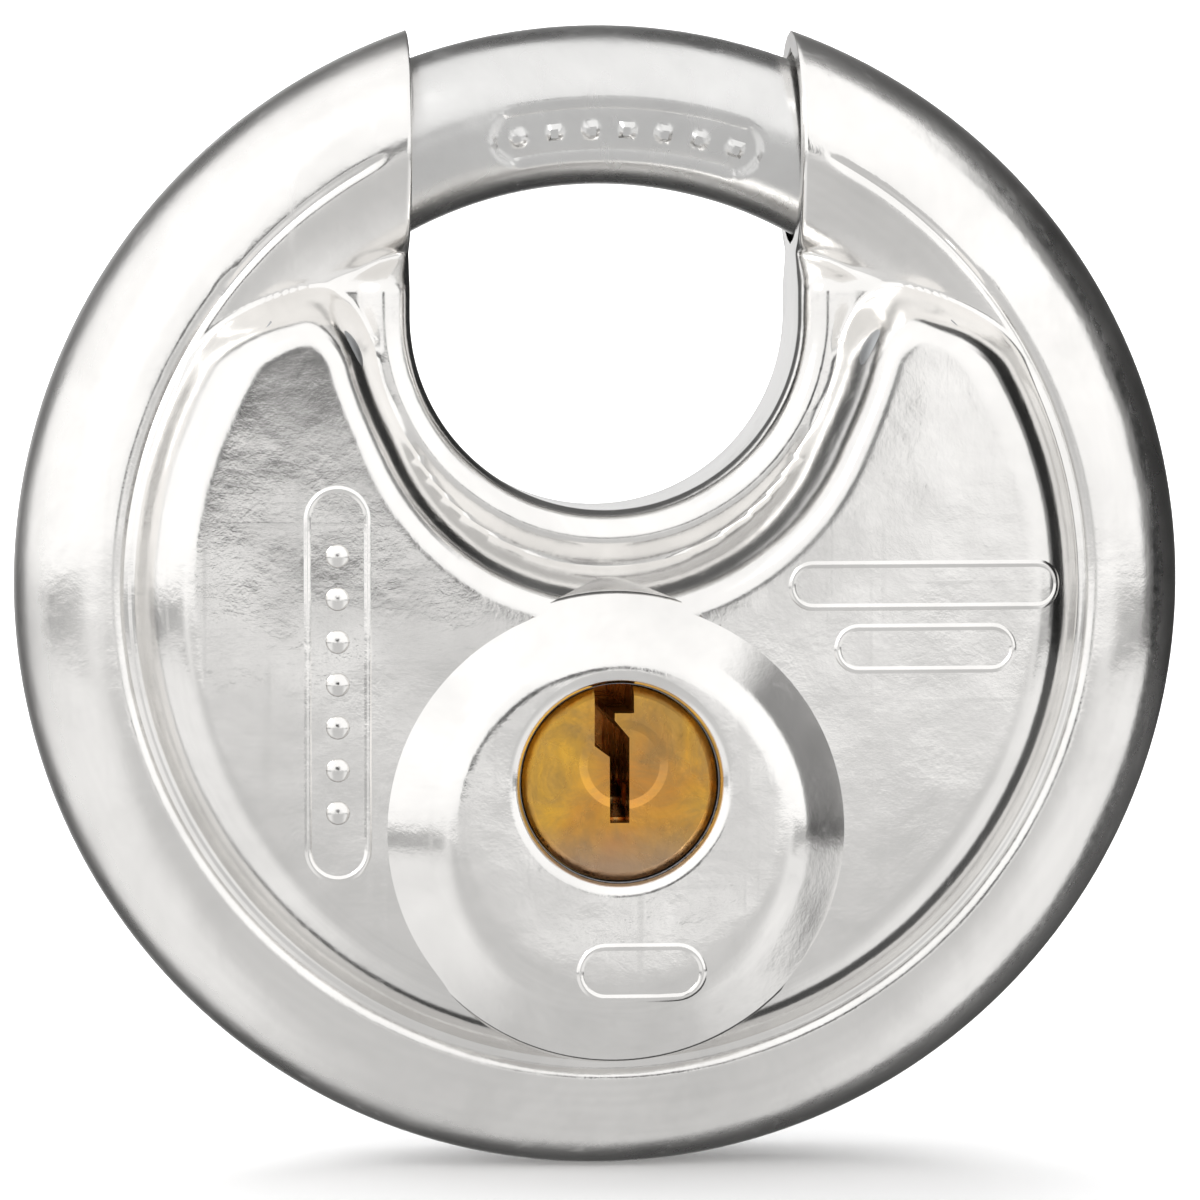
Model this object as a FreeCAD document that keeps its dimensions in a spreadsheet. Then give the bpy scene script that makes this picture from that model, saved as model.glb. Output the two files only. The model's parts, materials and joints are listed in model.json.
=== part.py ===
"""Disc padlock, 70 mm: a round two-shell case, a C-shaped shackle that turns inside its rim, and a pin
tumbler cylinder whose crank drives the shackle through a slotted carrier plate.

Every piece is modelled lying flat: local X to the right, local Y towards the shackle, local Z towards
the key side, with the middle of the case at the origin. A Placement then stands each piece up, so that
the row frame has +Z towards the shackle and the key side facing -Y. Millimetres and degrees.
"""

import FreeCAD, Part
import math
import os

import Sketcher

DIMENSIONS = {
    # case
    "ring_radius": 28.6,  # centre of the rim's tube, and of the shackle bar
    "tube_radius": 6.4,  # outside of the rim's tube
    "wall": 1.2,  # sheet thickness
    "floor_height": 5.4,  # ledge round the opening, from the seam
    "ledge_round": 1.6,
    "plateau_height": 11.4,
    "plateau_radius": 27.9,
    "plateau_round": 3.0,
    "bite_radius": 13.2,  # inner edge of the plateau, round the opening
    "bite_rise": 13.9,
    "lobe_top": 17.4,
    "lobe_round": 4.2,
    "boss_height": 14.2,
    "boss_radius": 13.9,
    "boss_drop": 13.7,
    "boss_round": 2.0,
    "opening_radius": 11.55,
    "opening_rise": 16.1,
    "plug_hole_radius": 5.85,
    "hole_round": 0.5,
    # shackle and its drive
    "bar_radius": 4.75,
    "bar_chamfer": 0.7,
    "bar_end_angle": 34.0,  # free end past the top, clockwise
    "bar_sweep": 224.0,
    "shackle_travel": 62.0,
    "carrier_top": -8.2,
    "carrier_plate": 1.2,
    "tab_inner": 22.7,
    "tab_outer": 24.2,
    "tab_top": 3.0,
    "tab_half_angle": 30.0,
    "arm_half_width": 3.6,
    "slot_half_width": 2.6,
    "rivet_radius": 1.3,
    "rivet_head_radius": 2.1,
    "rivet_end": 27.2,
    "rivet_spacing": 20.0,
    # cylinder
    "plug_drop": 10.9,
    "plug_radius": 5.7,
    "plug_face": 13.5,
    "plug_back": -5.1,
    "plug_chamfer": 0.5,
    "keyway_back": -3.4,
    "tail_radius": 3.2,
    "tail_flat": 2.4,
    "tail_back": -7.9,
    "clip_front": -6.75,
    "clip_plate": 0.5,
    "clip_groove_radius": 2.5,
    "clip_radius": 3.9,
    "crank_front": -5.15,
    "crank_plate": 1.5,
    "crank_radius": 7.6,
    "crank_throw": 5.61,
    "crank_pin_radius": 1.4,
    "crank_pin_back": -9.3,
    "crank_pin_chamfer": 0.2,
    "housing_radius": 12.2,
    "housing_front": 11.8,
    "housing_back": -5.0,
    "housing_bore": 5.76,
    "housing_flat": 21.4,
    "guard_front": 13.0,
    "guard_plate": 1.0,
    "guard_radius": 11.0,
    "guard_hole": 5.8,
    "cover_plate": 0.6,
    "cover_half_width": 1.9,
    # pins
    "pin_radius": 1.15,
    "chamber_radius": 1.2,
    "first_pin": 10.0,
    "pin_pitch": 3.0,
    "chamber_top": 0.3,  # below the plug's axis
    "driver_length": 2.4,
    "driver_gap": 0.06,
    "spring_gap": 0.02,
    "pin_chamfer": 0.35,
    "pin_gap": 0.1,  # key pin's foot to the plug's outside
    "spring_wire": 0.18,
    "spring_radius": 0.9,
    # core
    "core_front": 10.2,
    "core_gap": 1.4,  # the shell's outside to the core
    "core_flange": 25.6,
    "core_flange_back": 5.7,
    "core_rib": 24.9,
    "core_rib_back": 3.4,
    "core_radius": 21.9,
    "core_back": -5.0,
    "post_radius": 2.2,
    "post_x": 17.5,
    "post_y": 6.5,
    "post_back": -10.2,
}

SPRING_HALVES = 5  # half turns in each coil
CUTS = [0.6, 1.5, 0.3, 1.2, 0.9]  # key cut under each pin, first pin first
BLADE_EDGE = 2.1  # uncut edge of the key's blade, below the plug's axis
# Keyway section about the plug's axis; its top stands past the plug, so the slot is open there.
KEYWAY = [
    (-1.50, 6.20), (-1.50, 2.20), (-0.62, 1.55), (-0.60, -2.30), (0.53, -2.30),
    (0.53, 2.66), (-0.32, 3.67), (-0.32, 4.10), (0.80, 4.10), (0.80, 6.20),
]

doc = FreeCAD.newDocument("disc_padlock")
sheet = doc.addObject("Spreadsheet::Sheet", "dims")
for row, (alias, number) in enumerate(DIMENSIONS.items(), start=1):
    sheet.set(f"A{row}", alias)
    sheet.set(f"B{row}", str(number))
    sheet.setAlias(f"B{row}", alias)
doc.recompute()

X_AXIS, Y_AXIS, Z_AXIS = FreeCAD.Vector(1, 0, 0), FreeCAD.Vector(0, 1, 0), FreeCAD.Vector(0, 0, 1)
KEY_SIDE = FreeCAD.Rotation(X_AXIS, 90)  # local Z to the row's -Y
BACK_SIDE = FreeCAD.Rotation(Z_AXIS, 180).multiply(KEY_SIDE)  # local Z to the row's +Y
FAR = 60.0  # past everything
SUB_PARTS = []


def value(alias):
    """A driving dimension, as a plain number."""
    return float(getattr(sheet, alias))


def keep(label, obj, rotation=KEY_SIDE):
    """Makes obj the sub-part called label, and stands it up."""
    doc.recompute()
    obj.Label = label
    obj.Placement = FreeCAD.Placement(FreeCAD.Vector(), rotation).multiply(obj.Placement)
    SUB_PARTS.append(obj)
    return obj


# ---- Part primitives bound to the sheet ----


def place(obj, x="0", y="0", z="0"):
    for axis, formula in (("x", x), ("y", y), ("z", z)):
        obj.setExpression(f"Placement.Base.{axis}", formula)
    return obj


def cylinder(name, radius, height, x="0", y="0", z="0"):
    obj = doc.addObject("Part::Cylinder", name)
    obj.setExpression("Radius", radius)
    obj.setExpression("Height", height)
    return place(obj, x, y, z)


def box(name, length, width, height, x="0", y="0", z="0"):
    obj = doc.addObject("Part::Box", name)
    obj.setExpression("Length", length)
    obj.setExpression("Width", width)
    obj.setExpression("Height", height)
    return place(obj, x, y, z)


def torus(name, section, sweep="360"):
    obj = doc.addObject("Part::Torus", name)
    obj.setExpression("Radius1", "dims.ring_radius")
    obj.setExpression("Radius2", section)
    obj.setExpression("Angle3", sweep)
    return obj


def cut(name, base, tool):
    obj = doc.addObject("Part::Cut", name)
    obj.Base, obj.Tool = base, tool
    return obj


def fuse(name, *pieces):
    obj = doc.addObject("Part::MultiFuse", name)
    obj.Shapes = list(pieces)
    return obj


def common(name, *pieces):
    obj = doc.addObject("Part::MultiCommon", name)
    obj.Shapes = list(pieces)
    return obj


def fillet(name, base, radius, test, kind="Part::Fillet"):
    """Rounds, or chamfers, the edges of base that pass the test."""
    doc.recompute()
    chosen = [n for n, edge in enumerate(base.Shape.Edges, start=1) if test(edge)]
    if not chosen:
        raise RuntimeError(f"{name}: no edge to round")
    obj = doc.addObject(kind, name)
    obj.Base = base
    obj.Edges = [(n, radius, radius) for n in chosen]
    return obj


def middle(edge):
    return edge.valueAt((edge.FirstParameter + edge.LastParameter) / 2)


# ---- PartDesign helpers ----


def new_body(name):
    return doc.addObject("PartDesign::Body", name)


def sketch(body, name, x="0", y="0", z="0", role="XY_Plane"):
    """A sketch on one of the body's own planes, offset within the plane's own axes."""
    obj = body.newObject("Sketcher::SketchObject", name)
    plane = next(f for f in body.Origin.OriginFeatures if f.Role == role)
    obj.AttachmentSupport = (plane, [""])
    obj.MapMode = "FlatFace"
    for axis, formula in (("x", x), ("y", y), ("z", z)):
        obj.setExpression(f"AttachmentOffset.Base.{axis}", formula)
    return obj


def circle(outline, radius):
    """A circle about the sketch's origin."""
    n = outline.addGeometry(Part.Circle(FreeCAD.Vector(), Z_AXIS, 5.0))
    outline.addConstraint(Sketcher.Constraint("Coincident", n, 3, -1, 1))
    named = outline.addConstraint(Sketcher.Constraint("Radius", n, 5.0))
    outline.renameConstraint(named, f"radius_{n}")
    outline.setExpression(f"Constraints.radius_{n}", radius)


def polygon(outline, points):
    corners = [FreeCAD.Vector(x, y, 0) for x, y in points]
    for n, corner in enumerate(corners):
        outline.addGeometry(Part.LineSegment(corner, corners[(n + 1) % len(corners)]))
        outline.addConstraint(Sketcher.Constraint("Block", outline.GeometryCount - 1))


def extrude(body, kind, outline, length, backward=False):
    """A Pad or Pocket of the outline: along +Z, or along -Z if backward."""
    doc.recompute()
    before = body.Shape.Volume if body.Tip else 0.0
    obj = body.newObject(f"PartDesign::{kind}", f"{outline.Name}_{kind.lower()}")
    obj.Profile = outline
    obj.Type = "Length"
    obj.setExpression("Length", length)
    obj.Reversed = backward if kind == "Pad" else not backward
    doc.recompute()
    if abs(body.Shape.Volume - before) < 1e-6:
        raise RuntimeError(f"{obj.Name} changed nothing")
    return obj


def chamfer(body, size, test):
    doc.recompute()
    base = body.Tip
    chosen = [f"Edge{n}" for n, edge in enumerate(base.Shape.Edges, start=1) if test(edge)]
    obj = body.newObject("PartDesign::Chamfer", f"{body.Name}_chamfer")
    obj.Base = (base, chosen)
    obj.setExpression("Size", size)
    return obj


# ---- case ----


def opening(name, grow):
    """The hasp opening: a half round below and straight sides up past the top."""
    radius = f"dims.opening_radius + {grow}"
    arch = cylinder(f"{name}_round", radius, "30", y="dims.opening_rise", z="-5")
    width = f"2 * ({radius})"
    sides = box(f"{name}_sides", width, f"{FAR}", "30", f"-({radius})", "dims.opening_rise", "-5")
    return fuse(name, arch, sides)


def kidney(name, inset, bottom, top):
    """A prism of the kidney between the rim and the opening, drawn in from its outside by inset."""
    height = f"{top} - ({bottom})"
    disc = cylinder(f"{name}_disc", f"dims.plateau_radius - {inset}", height, z=bottom)
    bite = cylinder(f"{name}_bite", f"dims.bite_radius + {inset}", "40", y="dims.bite_rise", z="-20")
    lobe_line = f"dims.lobe_top - {inset}"
    crown = box(f"{name}_crown", f"2 * {FAR}", f"{FAR}", "40", f"-{FAR}", lobe_line, "-20")
    sharp = cut(f"{name}_sharp", cut(f"{name}_bitten", disc, bite), crown)
    lobe_y = value("lobe_top") - amount(inset)

    def at_lobe(edge):
        upright = abs(edge.tangentAt(edge.FirstParameter).z) > 0.99
        return upright and abs(middle(edge).y - lobe_y) < 0.01

    return fillet(f"{name}_kidney", sharp, value("lobe_round") - amount(inset), at_lobe)


def amount(inset):
    """The number behind an inset, which is 0 or a name in the sheet."""
    return 0.0 if inset == "0" else value(inset.split(".")[1])


def plateau(name, inset, bottom="0"):
    """The raised kidney, with its top edge rounded."""
    prism = kidney(name, inset, bottom, f"dims.plateau_height - {inset}")
    top = value("plateau_height") - amount(inset)
    return round_top(name, prism, value("plateau_round") - amount(inset), top)


def boss(name, inset):
    """The round boss over the cylinder."""
    height = f"dims.boss_height - {inset}"
    solid = cylinder(f"{name}_solid", f"dims.boss_radius - {inset}", height, y="-dims.boss_drop")
    top = value("boss_height") - amount(inset)
    return round_top(name, solid, value("boss_round") - amount(inset), top)


def round_top(name, solid, radius, top):
    """Rounds the edges at height top."""
    return fillet(name, solid, radius, lambda edge: edge.BoundBox.ZMin > top - 0.01)


def shell(label, with_boss, rotation):
    """One half of the case: the formed outside, less the same shape one sheet smaller."""
    outer_cut = opening(f"{label}_opening", "0")
    below = box(f"{label}_below", f"2 * {FAR}", f"2 * {FAR}", "20", f"-{FAR}", f"-{FAR}", "-20")
    tube = cut(f"{label}_tube", torus(f"{label}_ring", "dims.tube_radius"), below)
    rim = cut(f"{label}_rim", tube, outer_cut)
    disc = cylinder(f"{label}_disc", "dims.ring_radius", "dims.floor_height")
    ledge = cut(f"{label}_ledge", disc, outer_cut)
    top = value("floor_height")
    reach = value("ring_radius")

    def at_opening(edge):
        return edge.BoundBox.ZMin > top - 0.01 and math.hypot(middle(edge).x, middle(edge).y) < reach - 1

    ledge = fillet(f"{label}_ledge_rounded", ledge, value("ledge_round"), at_opening)
    outside = [rim, ledge, plateau(f"{label}_plateau", "0")]
    floor = cylinder(f"{label}_floor", "dims.ring_radius", "dims.floor_height - dims.wall + 1", z="-1")
    inner_floor = cut(f"{label}_inner_floor", floor, opening(f"{label}_inner_opening", "dims.wall"))
    raceway = torus(f"{label}_raceway", "dims.tube_radius - dims.wall")
    inside = [inner_floor, raceway, plateau(f"{label}_inner_plateau", "dims.wall")]
    if with_boss:
        outside.append(boss(f"{label}_boss", "0"))
        inside.append(boss(f"{label}_inner_boss", "dims.wall"))
        hole = cylinder(f"{label}_hole", "dims.plug_hole_radius", "10", y="-dims.plug_drop", z="8")
        inside.append(hole)
    result = cut(f"{label}_formed", fuse(f"{label}_outside", *outside), fuse(f"{label}_inside", *inside))
    if with_boss:
        face = value("boss_height")

        def at_hole(edge):
            round_edge = isinstance(edge.Curve, Part.Circle)
            return round_edge and edge.BoundBox.ZMin > face - 0.01 and edge.Curve.Radius < 6.5

        result = fillet(f"{label}_rolled", result, value("hole_round"), at_hole)
    return keep(label, result, rotation)


# ---- shackle and its drive ----


def slot_turn():
    """Direction of the carrier's slot at rest, in degrees from local X: the crank pin's own direction."""
    return -90.0 - value("shackle_travel") / 2


def turned(obj, degrees):
    obj.Placement = FreeCAD.Placement(FreeCAD.Vector(), FreeCAD.Rotation(Z_AXIS, degrees))
    return obj


def rivet(name, degrees):
    """A flush rivet that points outwards from the middle at the given direction."""
    head = doc.addObject("Part::Cone", f"{name}_head")
    head.setExpression("Radius1", "dims.rivet_head_radius")
    head.setExpression("Radius2", "dims.rivet_radius")
    head.setExpression("Height", "dims.rivet_head_radius - dims.rivet_radius")
    head.setExpression("Placement.Base.z", "dims.tab_inner")
    length = "dims.rivet_end - dims.tab_inner"
    shank = cylinder(f"{name}_shank", "dims.rivet_radius", length, z="dims.tab_inner")
    obj = fuse(name, head, shank)
    outwards = FreeCAD.Rotation(Z_AXIS, degrees).multiply(FreeCAD.Rotation(Y_AXIS, 90))
    obj.Placement = FreeCAD.Placement(FreeCAD.Vector(), outwards)
    return obj


def rivets(name):
    step = value("rivet_spacing")
    return fuse(name, *[rivet(f"{name}_{n}", slot_turn() + step * (n - 1)) for n in range(3)])


def sector(name, radius, bottom, height, half_angle):
    """A pie slice of the given half angle about the slot's direction."""
    slice_ = cylinder(name, radius, height, z=bottom)
    slice_.setExpression("Angle", f"2 * {half_angle}")
    slice_.Placement.Rotation = FreeCAD.Rotation(Z_AXIS, slot_turn() - value(half_angle.split(".")[1]))
    return slice_


def shackle():
    ring = torus("shackle_ring", "dims.bar_radius", "dims.bar_sweep")
    turned(ring, 90 - value("bar_end_angle"))
    ended = fillet("shackle_ended", ring, value("bar_chamfer"), is_bar_section, "Part::Chamfer")
    seat = sector("shackle_seat", "dims.tab_outer", "-10", "20", "dims.tab_half_angle")
    seated = cut("shackle_seated", ended, seat)
    return keep("shackle", cut("shackle_drilled", seated, rivets("shackle_rivet_holes")))


def is_bar_section(edge):
    """True for the round edge at either end of the bar."""
    return abs(edge.Curve.Radius - value("bar_radius")) < 0.01 and abs(edge.Curve.Axis.z) < 0.01


def carrier():
    """Slotted plate behind the cylinder, with a bent tab riveted to the inside of the shackle."""
    base = "dims.carrier_top - dims.carrier_plate"
    plate = "dims.carrier_plate"
    slice_ = sector("carrier_slice", "dims.tab_outer", base, plate, "dims.tab_half_angle")
    fan = cut("carrier_fan", slice_, cylinder("carrier_fan_apex", "dims.plug_drop", "30", z="-12"))
    height = f"dims.tab_top - ({base})"
    wall = sector("carrier_wall", "dims.tab_outer", base, height, "dims.tab_half_angle")
    hollow = cylinder("carrier_hollow", "dims.tab_inner", "30", z="-12")
    tab = cut("carrier_tab", wall, hollow)
    slot_in = "dims.plug_drop - dims.crank_throw"
    slot_out = "sqrt(dims.plug_drop ^ 2 - dims.crank_throw ^ 2)"
    arm = obround("carrier_arm", "dims.arm_half_width", slot_in, f"{slot_out} + 3", base, plate)
    slot = obround("carrier_slot", "dims.slot_half_width", slot_in, slot_out, "-12", "6")
    slotted = cut("carrier_slotted", fuse("carrier_blank", fan, tab, arm), slot)
    return keep("carrier_plate", cut("carrier_drilled", slotted, rivets("carrier_rivet_holes")))


def obround(name, half_width, start, end, bottom, height):
    """A round-ended bar along the slot's direction, from radius start to radius end."""
    near = cylinder(f"{name}_near", half_width, height, x=start, z=bottom)
    far = cylinder(f"{name}_far", half_width, height, x=end, z=bottom)
    length = f"({end}) - ({start})"
    span = box(f"{name}_span", length, f"2 * {half_width}", height, start, f"-{half_width}", bottom)
    return turned(fuse(name, near, far, span), slot_turn())


# ---- cylinder ----


def pin_height(position):
    """Formula for a pin's distance from the seam, the front pin being position 0."""
    return f"dims.first_pin - {position} * dims.pin_pitch"


def rest_crank():
    """Local x and y of the crank pin at rest."""
    throw, drop = value("crank_throw"), value("plug_drop")
    lean = math.acos(throw / drop)
    return -throw * math.sin(lean), throw * math.cos(lean) - drop


def plug():
    body = new_body("plug_body")
    outline = sketch(body, "plug_round", y="-dims.plug_drop", z="dims.plug_back")
    circle(outline, "dims.plug_radius")
    extrude(body, "Pad", outline, "dims.plug_face - dims.plug_back")
    chamfer(body, "dims.plug_chamfer", lambda edge: edge.BoundBox.ZMin > value("plug_face") - 0.01)
    outline = sketch(body, "plug_tail", y="-dims.plug_drop", z="dims.plug_back")
    circle(outline, "dims.tail_radius")
    extrude(body, "Pad", outline, "dims.plug_back - dims.tail_back", backward=True)
    for side in (-1, 1):
        name = "left" if side < 0 else "right"
        outline = sketch(body, f"tail_flat_{name}", y="-dims.plug_drop", z="dims.plug_back")
        near, clear = side * value("tail_flat"), value("tail_radius") + 1
        far = side * clear
        polygon(outline, [(near, -clear), (far, -clear), (far, clear), (near, clear)])
        extrude(body, "Pocket", outline, "dims.plug_back - dims.tail_back", backward=True)
    outline = sketch(body, "clip_groove", y="-dims.plug_drop", z="dims.clip_front - dims.clip_plate")
    circle(outline, "dims.tail_radius + 1")
    circle(outline, "dims.clip_groove_radius")
    extrude(body, "Pocket", outline, "dims.clip_plate")
    outline = sketch(body, "keyway", y="-dims.plug_drop", z="dims.plug_face")
    polygon(outline, KEYWAY)
    extrude(body, "Pocket", outline, "dims.plug_face - dims.keyway_back", backward=True)
    for n in range(len(CUTS)):
        # an XZ sketch's own axes are local X and local Z, and its normal is local -Y
        start = "dims.plug_drop + dims.chamber_top"
        outline = sketch(body, f"plug_chamber_{n + 1}", y=pin_height(n), z=start, role="XZ_Plane")
        circle(outline, "dims.chamber_radius")
        extrude(body, "Pocket", outline, "dims.plug_radius")
    return keep("plug", body)


def housing():
    body = new_body("housing_body")
    outline = sketch(body, "housing_round", y="-dims.boss_drop", z="dims.housing_back")
    circle(outline, "dims.housing_radius")
    extrude(body, "Pad", outline, "dims.housing_front - dims.housing_back")
    outline = sketch(body, "housing_flat", z="dims.housing_back")
    flat = value("housing_flat")
    polygon(outline, [(-FAR, -flat), (FAR, -flat), (FAR, -FAR), (-FAR, -FAR)])
    extrude(body, "Pocket", outline, "dims.housing_front - dims.housing_back")
    outline = sketch(body, "housing_corners", z="dims.housing_back")
    circle(outline, "dims.core_radius")
    circle(outline, f"{FAR}")
    extrude(body, "Pocket", outline, "dims.housing_front - dims.housing_back")
    outline = sketch(body, "housing_bore", y="-dims.plug_drop", z="dims.housing_back")
    circle(outline, "dims.housing_bore")
    extrude(body, "Pocket", outline, "dims.housing_front - dims.housing_back")
    for n in range(len(CUTS)):
        start = "dims.plug_drop + 2"
        outline = sketch(body, f"housing_chamber_{n + 1}", y=pin_height(n), z=start, role="XZ_Plane")
        circle(outline, "dims.chamber_radius")
        extrude(body, "Pocket", outline, "dims.housing_flat - dims.plug_drop - 2")
    outline = sketch(body, "cover_groove", z="dims.housing_flat - dims.cover_plate", role="XZ_Plane")
    half, low, high = cover_outline()
    polygon(outline, [(-half, low), (half, low), (half, high), (-half, high)])
    extrude(body, "Pocket", outline, "dims.cover_plate")
    return keep("cylinder_housing", body)


def cover_outline():
    """Half width and the two ends of the strip under the pin springs."""
    last = value("first_pin") - (len(CUTS) - 1) * value("pin_pitch")
    margin = value("chamber_radius") + 0.6
    return value("cover_half_width"), last - margin, value("first_pin") + margin


def chamber_cover():
    body = new_body("chamber_cover_body")
    outline = sketch(body, "cover_strip", z="dims.housing_flat - dims.cover_plate", role="XZ_Plane")
    half, low, high = cover_outline()
    polygon(outline, [(-half, low), (half, low), (half, high), (-half, high)])
    extrude(body, "Pad", outline, "dims.cover_plate")
    return keep("chamber_cover", body)


def guard_plate():
    body = new_body("guard_body")
    outline = sketch(body, "guard_round", y="-dims.boss_drop", z="dims.guard_front - dims.guard_plate")
    circle(outline, "dims.guard_radius")
    extrude(body, "Pad", outline, "dims.guard_plate")
    outline = sketch(body, "guard_hole", y="-dims.plug_drop", z="dims.guard_front - dims.guard_plate")
    circle(outline, "dims.guard_hole")
    extrude(body, "Pocket", outline, "dims.guard_plate")
    return keep("anti_drill_plate", body)


def crank():
    """Disc on the plug's tail, the pin pressed into it, and the open clip that holds it on."""
    pin_x, pin_y = rest_crank()
    back = "dims.crank_front - dims.crank_plate"
    disc = cylinder("crank_round", "dims.crank_radius", "dims.crank_plate", y="-dims.plug_drop", z=back)
    tail = cylinder("crank_tail_hole", "dims.tail_radius", "4", y="-dims.plug_drop", z="-8")
    width = "2 * dims.tail_flat"
    flats = box("crank_tail_flats", width, "12", "4", "-dims.tail_flat", "-dims.plug_drop - 6", "-8")
    pin_hole = cylinder("crank_pin_hole", "dims.crank_pin_radius", "4", f"{pin_x}", f"{pin_y}", "-8")
    holes = fuse("crank_holes", common("crank_tail_section", tail, flats), pin_hole)
    keep("crank_disc", cut("crank_holed", disc, holes))
    length = "dims.crank_front - dims.crank_pin_back"
    back = "dims.crank_pin_back"
    pin = cylinder("crank_pin_round", "dims.crank_pin_radius", length, f"{pin_x}", f"{pin_y}", back)
    end = value("crank_pin_back")

    def at_end(edge):
        return edge.BoundBox.ZMax < end + 0.01

    keep("crank_pin", fillet("crank_pin_ended", pin, value("crank_pin_chamfer"), at_end, "Part::Chamfer"))
    back = "dims.clip_front - dims.clip_plate"
    rim = cylinder("clip_rim", "dims.clip_radius", "dims.clip_plate", y="-dims.plug_drop", z=back)
    below = "dims.clip_front - 1"
    eye = cylinder("clip_eye", "dims.clip_groove_radius", "2", y="-dims.plug_drop", z=below)
    mouth = box("clip_mouth", "3.6", "8", "2", "-1.8", "-dims.plug_drop", below)
    keep("plug_clip", cut("plug_clip_open", rim, fuse("clip_gap", eye, mouth)))


def pin_body(name, position, top, length, tip):
    """A pin across the plug, its upper end at top below the middle of the case; tip chamfers that end."""
    body = new_body(f"{name}_body")
    outline = sketch(body, f"{name}_round", y=pin_height(position), z=top, role="XZ_Plane")
    circle(outline, "dims.pin_radius")
    extrude(body, "Pad", outline, length)
    doc.recompute()
    high, low = body.Shape.BoundBox.YMax, body.Shape.BoundBox.YMin

    def at_ends(edge):
        upper = edge.BoundBox.YMin > high - 0.01
        return upper or (not tip and edge.BoundBox.YMax < low + 0.01)

    chamfer(body, "2 * dims.pin_chamfer" if tip else "dims.pin_chamfer / 2", at_ends)
    return keep(name, body)


def pin_stacks():
    shear = "dims.plug_drop + dims.plug_radius"
    for n, depth in enumerate(CUTS):
        top = f"dims.plug_drop + {BLADE_EDGE} - {depth}"
        pin_body(f"key_pin_{n + 1}", n, top, f"({shear}) - ({top}) - dims.pin_gap", tip=True)
        pin_body(f"driver_pin_{n + 1}", n, f"{shear} + dims.driver_gap", "dims.driver_length", tip=False)
        spring(f"pin_spring_{n + 1}", n)


def spring(name, position):
    """Coil under a driver pin, of half rings tilted so that each one leads into the next."""
    wire, radius = value("spring_wire"), value("spring_radius")
    top = value("plug_drop") + value("plug_radius") + value("driver_gap") + value("driver_length")
    bottom = value("housing_flat") - value("cover_plate")
    rise = (bottom - top - 2 * wire - 2 * value("spring_gap")) / SPRING_HALVES
    tilt = math.degrees(math.atan2(rise, 2 * radius))
    halves = []
    for n in range(SPRING_HALVES):
        half = doc.addObject("Part::Torus", f"{name}_half_{n + 1}")
        half.setExpression("Radius2", "dims.spring_wire")
        half.Radius1 = math.hypot(radius, rise / 2)
        half.Angle3 = 180
        turn = FreeCAD.Rotation(Y_AXIS, tilt)
        if n % 2:
            turn = FreeCAD.Rotation(Y_AXIS, -tilt).multiply(FreeCAD.Rotation(Z_AXIS, 180))
        half.Placement = FreeCAD.Placement(FreeCAD.Vector(0, 0, (n + 0.5) * rise), turn)
        halves.append(half)
    coil = fuse(f"{name}_coil", *halves)
    z = value("first_pin") - position * value("pin_pitch")
    foot = FreeCAD.Vector(0, wire + value("spring_gap") - bottom, z)
    coil.Placement = FreeCAD.Placement(foot, FreeCAD.Rotation(X_AXIS, -90))
    return keep(name, coil)


# ---- core ----


def core():
    """Cast body that fills the case inside the shackle's path and holds the cylinder."""
    body = new_body("core_body_body")
    outline = sketch(body, "core_section", role="XZ_Plane")
    steps = [
        (0.0, value("core_back")),
        (value("core_radius"), value("core_back")),
        (value("core_radius"), value("core_rib_back")),
        (value("core_rib"), value("core_rib_back")),
        (value("core_rib"), value("core_flange_back")),
        (value("core_flange"), value("core_flange_back")),
        (value("core_flange"), value("core_front")),
        (0.0, value("core_front")),
    ]
    polygon(outline, steps)
    doc.recompute()
    turn = body.newObject("PartDesign::Revolution", "core_turned")
    turn.Profile = outline
    turn.ReferenceAxis = (outline, ["V_Axis"])
    turn.Angle = 360.0
    for side, name in ((-1, "left"), (1, "right")):
        x = f"{side} * dims.post_x"
        outline = sketch(body, f"core_post_{name}", x, "dims.post_y", "dims.core_back")
        circle(outline, "dims.post_radius")
        extrude(body, "Pad", outline, "dims.core_back - dims.post_back", backward=True)
    outline = sketch(body, "core_pocket", y="-dims.boss_drop", z="dims.core_back")
    circle(outline, "dims.housing_radius + 0.02")
    extrude(body, "Pocket", outline, "dims.core_front - dims.core_back")
    filling = common("core_filling", body, plateau("core_room", "dims.core_gap", "-15"))
    return keep("core_body", filling)


def check():
    """Stops the build if anything failed to compute, or a sub-part isn't one or more sound solids."""
    doc.recompute()
    bad = [o.Name for o in doc.Objects if {"Invalid", "Error"} & set(o.State)]
    if bad:
        raise RuntimeError(f"failed objects: {bad}")
    for obj in SUB_PARTS:
        shape = obj.Shape
        if shape.isNull() or not shape.isValid() or not shape.Solids or shape.Volume <= 0:
            raise RuntimeError(f"{obj.Label} is not a sound solid")


shell("front_shell", True, KEY_SIDE)
shell("rear_shell", False, BACK_SIDE)
shackle()
carrier()
keep("carrier_rivets", rivets("rivet_row"))
plug()
housing()
chamber_cover()
guard_plate()
crank()
pin_stacks()
core()
check()
os.makedirs("parts", exist_ok=True)
for part in SUB_PARTS:
    part.Shape.exportStep(f"parts/{part.Label}.step")
    print(f"{part.Label}: {part.Shape.Volume:.1f} mm3, {len(part.Shape.Solids)} solid(s)")
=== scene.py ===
"""Disc padlock: the visual model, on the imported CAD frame.

Shapes are worked out in millimetres in the lock's own plane: x to the right, y up to the shackle, h out
towards the side the sheet faces. emit() turns them into metres in the row frame.
"""

import json
import math

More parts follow.
